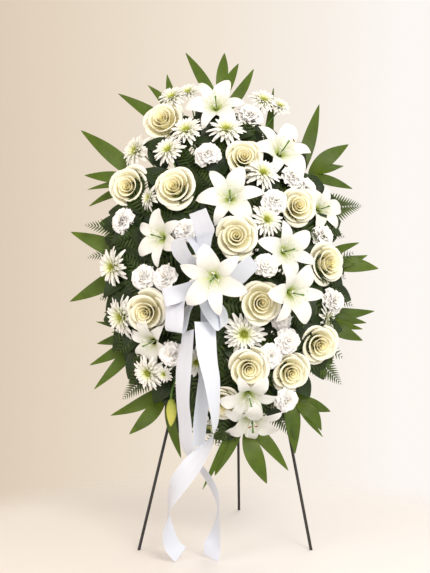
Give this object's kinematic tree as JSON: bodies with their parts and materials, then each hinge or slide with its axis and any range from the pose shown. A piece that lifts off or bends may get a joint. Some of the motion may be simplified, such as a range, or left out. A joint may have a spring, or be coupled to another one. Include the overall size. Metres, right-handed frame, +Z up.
{
  "type": "funeral flower spray",
  "caption": "Standing funeral spray of white flowers, palm and fern with a satin bow and trailing tails, on a folding wire easel.",
  "frame": {"origin": "on the floor, at the middle of the whole piece seen from above", "axes": "+Z up, -Y the front that the blooms and the bow face, +X to the right of someone looking at the front"},
  "size_m": [0.744, 0.6778, 1.1959],
  "materials": {
    "rose_petal": "matte",
    "lily_petal": "satin",
    "carnation_petal": "matte",
    "daisy_petal": "matte",
    "palm_leaf": "satin",
    "fern_leaf": "satin",
    "ribbon_satin": "satin",
    "black_wire": "satin",
    "wet_foam": "matte",
    "green_plastic": "satin"
  },
  "bodies": {
    "spray": {"rose_01": "rose_petal", "rose_02": "rose_petal", "rose_03": "rose_petal", "rose_04": "rose_petal", "rose_05": "rose_petal", "rose_06": "rose_petal", "rose_07": "rose_petal", "rose_08": "rose_petal", "rose_09": "rose_petal", "rose_10": "rose_petal", "rose_11": "rose_petal", "rose_12": "rose_petal", "rose_13": "rose_petal", "rose_14": "rose_petal", "lily_1": "lily_petal", "lily_2": "lily_petal", "lily_3": "lily_petal", "lily_4": "lily_petal", "lily_5": "lily_petal", "lily_6": "lily_petal", "carnation_spray_1": "carnation_petal", "carnation_spray_2": "carnation_petal", "carnation_spray_3": "carnation_petal", "carnation_spray_4": "carnation_petal", "carnation_spray_5": "carnation_petal", "carnation_spray_6": "carnation_petal", "daisy_spray_1": "daisy_petal", "daisy_spray_2": "daisy_petal", "daisy_spray_3": "daisy_petal", "daisy_spray_4": "daisy_petal", "daisy_spray_5": "daisy_petal", "daisy_spray_6": "daisy_petal", "daisy_spray_7": "daisy_petal", "palm_frond_01": "palm_leaf", "palm_frond_02": "palm_leaf", "palm_frond_03": "palm_leaf", "palm_frond_04": "palm_leaf", "palm_frond_05": "palm_leaf", "palm_frond_06": "palm_leaf", "palm_frond_07": "palm_leaf", "palm_frond_08": "palm_leaf", "palm_frond_09": "palm_leaf", "palm_frond_10": "palm_leaf", "palm_frond_11": "palm_leaf", "fern_frond_1": "fern_leaf", "fern_frond_2": "fern_leaf", "fern_frond_3": "fern_leaf", "fern_frond_4": "fern_leaf", "fern_frond_5": "fern_leaf", "fern_frond_6": "fern_leaf", "ribbon_bow": "ribbon_satin", "ribbon_tail_left": "ribbon_satin", "ribbon_tail_right": "ribbon_satin", "easel_leg_left": "black_wire", "easel_leg_right": "black_wire", "easel_crossbar_upper": "black_wire", "easel_crossbar_lower": "black_wire", "floral_foam": "wet_foam", "spray_cage": "green_plastic"},
    "rear_leg": {"easel_leg_rear": "black_wire"}
  },
  "joints": [
    {"name": "rear_leg_fold", "type": "hinge", "parent": "spray", "child": "rear_leg", "pos_m": [0.03015, 0.08321, 0.861], "axis": [1, 0, 0], "range_deg": [-28, 0]}
  ]
}
